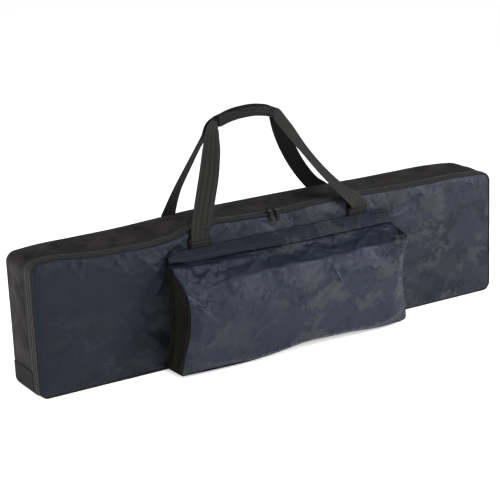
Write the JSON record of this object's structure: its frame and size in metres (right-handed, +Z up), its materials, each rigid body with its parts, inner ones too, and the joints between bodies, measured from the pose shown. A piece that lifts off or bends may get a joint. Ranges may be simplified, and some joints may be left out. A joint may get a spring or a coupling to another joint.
{
  "type": "padded gig bag",
  "caption": "Long padded keyboard bag with a zipped front lid, a gusseted front pocket, webbing handles with a wrap-round grip and ribbed corner guards.",
  "frame": {"origin": "Centre of the flat face that the bag stands on, under the shell without the pocket.", "axes": "+X along the bag, +Y from the lid to the back, +Z up; the lid and its pocket face -Y."},
  "size_m": [1.386, 0.2578, 0.612],
  "materials": {
    "camo_fabric": "tonal camouflage jacquard polyester with a satin face",
    "gusset_fabric": "plain woven black polyester",
    "foam": "closed-cell polyethylene foam board",
    "lining": "smooth dark nylon lining",
    "piping": "fabric-covered piping cord",
    "zip_tape": "woven zip tape",
    "zip_coil": "moulded nylon coil",
    "zip_metal": "black lacquered die-cast zip hardware",
    "webbing": "heavy polypropylene webbing",
    "grip_cover": "padded fabric wrap",
    "hook_and_loop": "hook and loop tape",
    "guard_rubber": "ribbed moulded rubber"
  },
  "bodies": {
    "shell": {"back_panel": "camo_fabric", "back_foam": "foam", "back_lining": "lining", "back_piping": "piping", "gusset": "gusset_fabric", "bottom_gusset": "gusset_fabric", "top_foam": "foam", "bottom_foam": "foam", "left_end_foam": "foam", "right_end_foam": "foam", "gusset_lining": "lining", "shell_zip_tape": "zip_tape", "shell_zip_coil": "zip_coil", "left_corner_guard": "guard_rubber", "right_corner_guard": "guard_rubber", "back_left_tab": "webbing", "back_right_tab": "webbing", "back_left_web_root": "webbing", "back_right_web_root": "webbing"},
    "lid": {"front_panel": "camo_fabric", "front_foam": "foam", "front_lining": "lining", "front_piping": "piping", "lid_gusset": "gusset_fabric", "lid_zip_tape": "zip_tape", "lid_zip_coil": "zip_coil", "front_left_tab": "webbing", "front_right_tab": "webbing", "front_left_web_root": "webbing", "front_right_web_root": "webbing", "pocket_floor": "gusset_fabric", "pocket_left_side": "gusset_fabric", "pocket_right_side": "gusset_fabric", "flap_root": "camo_fabric", "pocket_upper_tape": "zip_tape", "pocket_upper_coil": "zip_coil"},
    "left_slider": {"left_zip_slider": "zip_metal"},
    "right_slider": {"right_zip_slider": "zip_metal"},
    "left_pull": {"left_zip_pull": "zip_metal"},
    "right_pull": {"right_zip_pull": "zip_metal"},
    "front_strap": {"front_handle": "webbing"},
    "back_strap": {"back_handle": "webbing", "grip_wrap": "grip_cover", "grip_loop_strip": "hook_and_loop"},
    "grip_cover": {"grip_flap": "grip_cover", "grip_hook_strip": "hook_and_loop"},
    "pocket_front": {"pocket_face": "camo_fabric", "pocket_top": "camo_fabric", "pocket_lower_tape": "zip_tape", "pocket_lower_coil": "zip_coil", "pocket_zip_garage": "gusset_fabric"},
    "pocket_zip_body": {"pocket_slider": "zip_metal"},
    "pocket_zip_tab": {"pocket_pull": "zip_metal"},
    "storm_flap": {"pocket_flap": "camo_fabric"}
  },
  "joints": [
    {"name": "lid_open", "type": "hinge", "parent": "shell", "child": "lid", "pos_m": [0, -0.0695, 0.0025], "axis": [1, 0, 0], "range_deg": [0, 90], "deforming": ["grip_flap", "grip_hook_strip"]},
    {"name": "left_zip_run", "type": "slide", "parent": "lid", "child": "left_slider", "axis": [-1, 0, 0], "range_m": [0, 0.59]},
    {"name": "right_zip_run", "type": "slide", "parent": "lid", "child": "right_slider", "axis": [1, 0, 0], "range_m": [0, 0.59]},
    {"name": "left_pull_swing", "type": "hinge", "parent": "left_slider", "child": "left_pull", "pos_m": [-0.026, -0.057, 0.352], "axis": [-1, 0, 0], "range_deg": [0, 110]},
    {"name": "right_pull_swing", "type": "hinge", "parent": "right_slider", "child": "right_pull", "pos_m": [-0.006, -0.057, 0.352], "axis": [-1, 0, 0], "range_deg": [0, 110]},
    {"name": "front_handle_fold", "type": "hinge", "parent": "lid", "child": "front_strap", "pos_m": [0, -0.081, 0.318], "axis": [1, 0, 0], "range_deg": [0, 100], "deforming": ["grip_flap", "grip_hook_strip"]},
    {"name": "back_handle_fold", "type": "hinge", "parent": "shell", "child": "back_strap", "pos_m": [0, 0.081, 0.318], "axis": [-1, 0, 0], "range_deg": [0, 128], "deforming": ["grip_flap", "grip_hook_strip"]},
    {"name": "grip_cover_open", "type": "hinge", "parent": "back_strap", "child": "grip_cover", "pos_m": [-0.046, -0.0008, 0.612], "axis": [-1, 0, 0], "range_deg": [0, 140]},
    {"name": "pocket_open", "type": "hinge", "parent": "lid", "child": "pocket_front", "pos_m": [0, -0.1642, 0.008], "axis": [1, 0, 0], "range_deg": [0, 12], "deforming": ["pocket_left_side", "pocket_right_side", "pocket_flap"]},
    {"name": "pocket_zip_run", "type": "slide", "parent": "pocket_front", "child": "pocket_zip_body", "axis": [-1, 0, 0], "range_m": [0, 0.62]},
    {"name": "pocket_pull_swing", "type": "hinge", "parent": "pocket_zip_body", "child": "pocket_zip_tab", "pos_m": [0.307, -0.08365, 0.28529], "axis": [0, 0.4419, 0.8971], "range_deg": [0, 90], "deforming": ["pocket_flap"]},
    {"name": "storm_flap_lift", "type": "hinge", "parent": "lid", "child": "storm_flap", "pos_m": [0, -0.079, 0.2988], "axis": [-1, 0, 0], "range_deg": [0, 50]}
  ]
}
